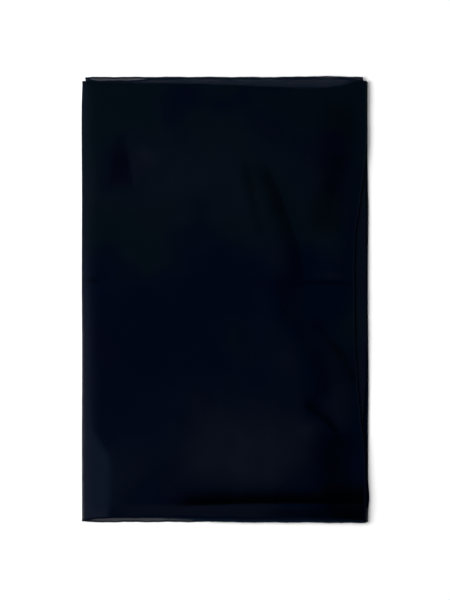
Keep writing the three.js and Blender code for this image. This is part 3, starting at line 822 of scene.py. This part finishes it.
def hem_surface(line, seed, turn):
    """Points on a hem at an angle round its section: 0 is its outer edge, and 90 degrees is its top."""
    point, _, outwards, off = line
    distance = distance_along(point)
    c, s = np.cos(turn), np.sin(turn)
    width, height = (np.sign(v) * np.abs(v) ** ROLL_SECTION_POWER for v in (c, s))
    held = pinch_at(distance)[:, None] * ease(PINCH["spares_edge_to"] - c)
    thick = 1 + wander(distance, "thickness", seed)[:, None] - PINCH["share"] * held
    sideways = wander(distance, "sideways", seed)[:, None] + width * HEM_ROLL["width"] / 2
    upwards = height * thick * HEM_ROLL["thickness"] / 2
    return point[:, None] + outwards[:, None] * sideways[..., None] + off[:, None] * upwards[..., None]


RINGS_ON_TOP = 1 + sum(len(ring_places(stretch)) for stretch in WAY[:2])


def hem_roll(name, line, seed, see_through_from):
    """A hem as one closed tube, see-through from the given ring on."""
    turns = np.linspace(0, 2 * np.pi, HEM_ROLL["sides"] + 1)[None]
    surface = hem_surface(line, seed, turns) * MM
    distance = distance_along(line[0]) * MM
    bm, column, row = unit_grid(*surface.shape[:2])
    round_section = math.pi * HEM_ROLL["width"] * MM / HEM_ROLL["sides"]
    placed(bm, surface, column, row, lambda i, j: (distance[i], j * round_section))
    for face in bm.faces:
        first_ring = min(column[v.index] for v in face.verts)
        face.material_index = SEE_THROUGH if first_ring >= see_through_from else OPAQUE
    bmesh.ops.remove_doubles(bm, verts=bm.verts, dist=WELD)
    bmesh.ops.holes_fill(bm, edges=[e for e in bm.edges if e.is_boundary], sides=0)
    bmesh.ops.recalc_face_normals(bm, faces=bm.faces)
    return link(name, finished(bm, name))


HEM_LINES = {
    "back": long_hem_line("back"),
    "front": long_hem_line("front"),
    "top_end": end_hem_line(WAY[0]),
    "inner_end": end_hem_line(WAY[-1]),
}
hems = {}
for seed, (name, line) in enumerate(HEM_LINES.items()):
    beyond_top = RINGS_ON_TOP if name in INWARDS else len(line[0])
    hems[name] = hem_roll("hem_roll_" + name, line, seed, beyond_top)
for name, hem in hems.items():
    length = distance_along(HEM_LINES[name][0])[-1] * MM
    print(f"hem {name}: {length:.2f} m, {len(hem.data.polygons)} faces")

# %% [markdown]
# ## Stitches
#
# One row of short stitches holds each hem, a millimetre in from the cloth's side of it, and shows on
# both faces. A stitch is a stretched ball of thirty faces, and one mesh holds all those of a hem. Each
# is sunk a little into the hem, and is a hair longer, shorter or more turned than the next.

# %% Stitches
rng = np.random.default_rng(21)
STITCH_SIDES, STITCH_RINGS = 6, 5
STITCH_UNEVEN = {"length": 0.08, "turn": 0.07}
STITCH_SINK = 0.35  # share of the thread's thickness that lies in the hem

bm = bmesh.new()
bmesh.ops.create_uvsphere(bm, u_segments=STITCH_SIDES, v_segments=STITCH_RINGS, radius=0.5)
bmesh.ops.rotate(bm, verts=bm.verts, matrix=Matrix.Rotation(math.pi / 2, 3, "Y"))
bm.verts.ensure_lookup_table()
BALL = np.array([v.co for v in bm.verts])
BALL_FACES = [[v.index for v in f.verts] for f in bm.faces]
bm.free()


def stitch_row(name, line, seed):
    """All the stitches of a hem, on both of its faces, as one mesh."""
    point, along, outwards, off = line
    distance = distance_along(point)
    middles = np.arange(STITCH["pitch"] / 2, distance[-1], STITCH["pitch"])
    rings = np.searchsorted(distance, middles)
    across = -(HEM_ROLL["width"] / 2 - STITCH["inset"])
    turn = math.acos(across / (HEM_ROLL["width"] / 2))
    places = []
    for face in (1, -1):
        surface = hem_surface(line, seed, np.array([[face * turn]]))[rings, 0]
        lift = (0.5 - STITCH_SINK) * STITCH["thread"] * face
        centre = surface + lift * off[rings]
        skew = rng.normal(0, STITCH_UNEVEN["turn"], len(rings))[:, None]
        length = STITCH["length"] * (1 + rng.normal(0, STITCH_UNEVEN["length"], len(rings)))[:, None]
        x_axis = (along[rings] + skew * outwards[rings]) * length
        y_axis = outwards[rings] * STITCH["thread"]
        z_axis = off[rings] * STITCH["thread"]
        axes = np.stack([x_axis, y_axis, z_axis], 1)
        places.append(centre[:, None] + np.einsum("vk,skd->svd", BALL, axes))
    places = np.concatenate(places).reshape(-1, 3) * MM
    faces = [[v + k * len(BALL) for v in f] for k in range(len(places) // len(BALL)) for f in BALL_FACES]
    mesh = bpy.data.meshes.new(name)
    mesh.from_pydata(places.tolist(), [], faces)
    mesh.polygons.foreach_set("use_smooth", [True] * len(faces))
    bm = bmesh.new()
    bm.from_mesh(mesh)
    bmesh.ops.recalc_face_normals(bm, faces=bm.faces)
    bm.to_mesh(mesh)
    bm.free()
    return link(name, mesh)


stitches = {n: stitch_row("stitches_" + n, line, seed) for seed, (n, line) in enumerate(HEM_LINES.items())}
for name, row in stitches.items():
    print(f"stitches {name}: {len(row.data.polygons)} faces")

# %% [markdown]
# ## Shared effects
#
# Three small node groups hold what the materials share. The first is the plain weave and its slubs,
# the thicker bits of yarn that run along the weft. The second is the crinkle of a crepe yarn. The
# third is the slow drift of the dye between teal and plum in random patches, which keeps so dark a
# cloth from looking like a cut-out; it also turns the cloth tealer towards the back. The first two
# read the flat cut in metres, so threads run along the cloth through its folds. The dye reads where a
# point lies on the table.

# %% Node groups
def new_group(name, inputs, outputs):
    """An empty node group with named inputs, each with its default value, and named outputs."""
    tree = bpy.data.node_groups.new(name, "ShaderNodeTree")
    for socket, (kind, value) in inputs.items():
        made = tree.interface.new_socket(name=socket, in_out="INPUT", socket_type=kind)
        made.default_value = value
    for socket, kind in outputs.items():
        tree.interface.new_socket(name=socket, in_out="OUTPUT", socket_type=kind)
    return tree, tree.nodes.new("NodeGroupInput").outputs, tree.nodes.new("NodeGroupOutput").inputs


def mixed(tree, factor, a, b):
    """A colour between two others."""
    return node(tree, "ShaderNodeMix", {"data_type": "RGBA"}, _0=factor, _6=a, _7=b).outputs[2]


def noise(tree, vector, scale, detail=2.0):
    return node(tree, "ShaderNodeTexNoise", Vector=vector, Scale=scale, Detail=detail).outputs["Fac"]


FLOAT, VECTOR, COLOUR = "NodeSocketFloat", "NodeSocketVector", "NodeSocketColor"
SLUBS = {"stretch": (900.0, 45.0, 1.0), "from": 0.58, "full": 0.8, "share": 0.25}
# Random patches of navy, teal and plum, and a colour that turns tealer towards the back.
DRIFT = {"patches": 7.0, "tealer_within": 0.16, "fade": 0.26, "teal": (0.53, 0.78), "plum": (0.47, 0.26)}

tree, given, weave_out = new_group(
    "plain weave",
    {"Cut": (VECTOR, (0, 0, 0)), "Threads per metre": (FLOAT, 3300.0), "Height": (FLOAT, 0.00002)},
    {"Height": FLOAT, "Slub": FLOAT},
)
parts = node(tree, "ShaderNodeSeparateXYZ", _0=given["Cut"])
turns = product(tree, given["Threads per metre"], math.pi)
warp = math_node(tree, "SINE", product(tree, parts.outputs["X"], turns))
weft = math_node(tree, "SINE", product(tree, parts.outputs["Y"], turns))
over_and_under = product(tree, product(tree, warp, weft), given["Height"])
tree.links.new(over_and_under, weave_out[0])
stretched = node(tree, "ShaderNodeMapping", Vector=given["Cut"], Scale=SLUBS["stretch"]).outputs[0]
slubs = ranged(tree, noise(tree, stretched, 1.0), SLUBS["from"], SLUBS["full"], 0.0, 1.0)
tree.links.new(slubs, weave_out[1])
WEAVE = tree

tree, given, crinkle_out = new_group(
    "crepe crinkle",
    {"Cut": (VECTOR, (0, 0, 0)), "Size": (FLOAT, 0.002), "Height": (FLOAT, 0.00006)},
    {"Height": FLOAT},
)
per_metre = math_node(tree, "DIVIDE", 1.0, given["Size"])
crinkled = product(tree, noise(tree, given["Cut"], per_metre, detail=3.0), given["Height"])
tree.links.new(crinkled, crinkle_out[0])
CRINKLE = tree

tree, given, dye_out = new_group(
    "dye drift",
    {"Place": (VECTOR, (0, 0, 0)), **{dye: (COLOUR, (0, 0, 0, 1)) for dye in ("Navy", "Teal", "Plum")}},
    {"Colour": COLOUR},
)
patches = noise(tree, given["Place"], DRIFT["patches"])
towards_back = node(tree, "ShaderNodeSeparateXYZ", _0=given["Place"]).outputs["Y"]
fade = ranged(tree, towards_back, 0.0, DRIFT["tealer_within"], 0.0, DRIFT["fade"], smooth=True)
towards_teal = ranged(tree, math_node(tree, "ADD", patches, fade), *DRIFT["teal"], 0.0, 1.0, smooth=True)
towards_plum = ranged(tree, patches, *DRIFT["plum"], 0.0, 1.0, smooth=True)
teal = mixed(tree, towards_teal, given["Navy"], given["Teal"])
tree.links.new(mixed(tree, towards_plum, teal, given["Plum"]), dye_out[0])
DYE = tree

# %% [markdown]
# ## Materials
#
# The dye is so deep that hardly any colour comes back from a single leaf: the base colours below look
# black as numbers, and it is the table's white beside them that sets the scale. A yarn this fine has
# a faint sheen, weak and wide, so the swells that turn to the lamps are a little greyer, and on top of
# that their base colour is painted paler (painted light). Painted shade darkens the creases, and a
# painted glow lights the outer fold's loop. The hems and their thread have the same dye, but where
# light comes through, a leaf's or a hem's base colour is painted bluer. Rolled three or four layers
# thick, a hem lets less light through than a leaf does, more where it is rolled loosely, and on top of
# the other leaves none.

# %% Materials
DEEP = {
    "Navy": (0.0, 0.0012, 0.0054, 1),
    "Teal": (0.0005, 0.0023, 0.0045, 1),
    "Plum": (0.0004, 0.0011, 0.0051, 1),
}
# painted light: the top leaf's colour where it stands up
PAINTED_SWELL_LIGHT = (0.0023, 0.0036, 0.0073, 1)
PAINTED_THROUGH_LIGHT = (0.0030, 0.0065, 0.0155, 1)  # painted light from the table, coming through the yarn
# painted light: the glow in the outer fold's loop
PAINTED_LOOP_GLOW = (0.0085, 0.0094, 0.0190, 1)
PAINTED_SHADE_KEEPS = 0.05  # share of its colour kept where the painted crease shade is darkest
SLUB_LIGHT = (0.002, 0.004, 0.009, 1)
LEAF_ALPHA = 0.52  # of one of a leaf's two faces: a leaf lets 23 % of the light through
# Each sheer hem's dye is a bluer base colour: painted light, for the light that comes through it.
SHEER_HEMS = {  # how opaque each is at its left and its right, and between which metres it changes
    "back": {"alpha": (0.965, 0.915), "between": (-0.16, -0.11), "dye": PAINTED_THROUGH_LIGHT},
    "front": {"alpha": (0.60, 0.88), "between": (-0.07, 0.04), "dye": (0.0038, 0.0105, 0.0210, 1)},
}
PUCKER = {"pitch": 0.005, "reach": 0.008, "height": 0.00013}
SHEEN = {"Sheen Weight": 0.004, "Sheen Roughness": 0.5, "Sheen Tint": (0.35, 0.5, 0.8, 1)}
HEM_LOOK = {"roughness": 0.5, "specular": 0.012, "crinkle_height": 0.00008}
THREAD_LOOK = {"roughness": 0.4, "specular": 0.03, "crinkle_height": 0}


def cloth_shader(name, roughness, specular):
    """A material with its tree and its Principled shader, and the flat cut in metres."""
    made = bpy.data.materials.new(name)
    tree = nodes_of(made)
    look = {"Roughness": roughness, "Specular IOR Level": specular, **SHEEN}
    shader = node(tree, "ShaderNodeBsdfPrincipled", **look)
    node(tree, "ShaderNodeOutputMaterial", Surface=shader.outputs[0])
    cut = node(tree, "ShaderNodeUVMap", {"uv_map": "flat_cut"}).outputs[0]
    return made, tree, shader, cut


def group(tree, inner, **inputs):
    return node(tree, "ShaderNodeGroup", {"node_tree": inner}, **inputs).outputs


def dyed(tree):
    place = node(tree, "ShaderNodeTexCoord").outputs["Object"]
    return group(tree, DYE, Place=place, **DEEP)[0]


def attribute(tree, name):
    return node(tree, "ShaderNodeAttribute", {"attribute_name": name}).outputs["Fac"]


def relief(tree, shader, *heights):
    """Feeds heights in metres to the shader as one bump."""
    total = heights[0]
    for height in heights[1:]:
        total = math_node(tree, "ADD", total, height)
    bump = node(tree, "ShaderNodeBump", Height=total, Distance=1.0, Strength=1.0)
    tree.links.new(bump.outputs[0], shader.inputs["Normal"])


def puckers(tree):
    """The ripples that the hem's stitches pull into the cloth, dying out a few millimetres away from it."""
    run = product(tree, attribute(tree, "hem_run"), 2 * math.pi / PUCKER["pitch"])
    near = ranged(tree, attribute(tree, "from_hem"), 0.0, PUCKER["reach"], PUCKER["height"], 0.0, smooth=True)
    return product(tree, math_node(tree, "SINE", run), near)


def chiffon(name, see_through):
    made, tree, shader, cut = cloth_shader(name, roughness=0.4, specular=0.008)
    weave = group(tree, WEAVE, Cut=cut)
    crinkle = group(tree, CRINKLE, Cut=cut)
    # painted light: the base colour turns paler and greyer where the top leaf stands up
    colour = mixed(tree, attribute(tree, "lift"), dyed(tree), PAINTED_SWELL_LIGHT)
    if see_through:
        # painted light: bluer where the table's light comes through; the alpha below is the real see-through
        colour = mixed(tree, attribute(tree, "sheer"), colour, PAINTED_THROUGH_LIGHT)
    # painted light: a glow painted into the outer fold's loop near its nose
    colour = mixed(tree, attribute(tree, "glow"), colour, PAINTED_LOOP_GLOW)
    colour = mixed(tree, product(tree, weave[1], SLUBS["share"]), colour, SLUB_LIGHT)
    # painted shade: the base colour goes towards black along the creases and in the shade bands
    kept = ranged(tree, attribute(tree, "pressed"), 0.0, 1.0, 0.0, 1 - PAINTED_SHADE_KEEPS)
    colour = mixed(tree, kept, colour, (0.0, 0.0, 0.0, 1))
    tree.links.new(colour, shader.inputs["Base Color"])
    relief(tree, shader, weave[0], crinkle[0], puckers(tree))
    if see_through:
        alpha = ranged(tree, attribute(tree, "sheer"), 0.0, 1.0, 1.0, LEAF_ALPHA)
        tree.links.new(alpha, shader.inputs["Alpha"])
    return made


def hem_or_thread(name, roughness, specular, crinkle_height, sheer=None):
    made, tree, shader, cut = cloth_shader(name, roughness, specular)
    if sheer:
        # painted light: the sheer hem's bluer base colour
        shader.inputs["Base Color"].default_value = sheer["dye"]
        place = node(tree, "ShaderNodeTexCoord").outputs["Object"]
        across = node(tree, "ShaderNodeSeparateXYZ", _0=place).outputs["X"]
        alpha = ranged(tree, across, *sheer["between"], *sheer["alpha"], smooth=True)
        tree.links.new(alpha, shader.inputs["Alpha"])
    else:
        tree.links.new(dyed(tree), shader.inputs["Base Color"])
    if crinkle_height:
        relief(tree, shader, group(tree, CRINKLE, Cut=cut, Height=crinkle_height)[0])
    return made


cloth_mesh.materials.append(chiffon("navy chiffon", see_through=False))
cloth_mesh.materials.append(chiffon("navy chiffon, sheer edge", see_through=True))
hem_cloth = hem_or_thread("navy rolled hem", **HEM_LOOK)
thread = hem_or_thread("navy thread", **THREAD_LOOK)
for name, hem in hems.items():
    hem.data.materials.append(hem_cloth)
    if name in SHEER_HEMS:
        sheer_name = "navy rolled hem, sheer, " + name
        hem.data.materials.append(hem_or_thread(sheer_name, **HEM_LOOK, sheer=SHEER_HEMS[name]))
for row in stitches.values():
    row.data.materials.append(thread)
print(f"{len(bpy.data.materials)} materials, {len(bpy.data.node_groups)} shared effects")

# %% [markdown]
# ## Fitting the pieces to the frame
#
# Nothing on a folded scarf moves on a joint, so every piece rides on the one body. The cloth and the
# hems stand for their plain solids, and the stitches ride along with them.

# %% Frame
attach(woven_cloth, "root")
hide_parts("cloth")
for name, hem in hems.items():
    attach(hem, "root")
    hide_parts("hem_" + name)
for row in stitches.values():
    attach(row, "root")
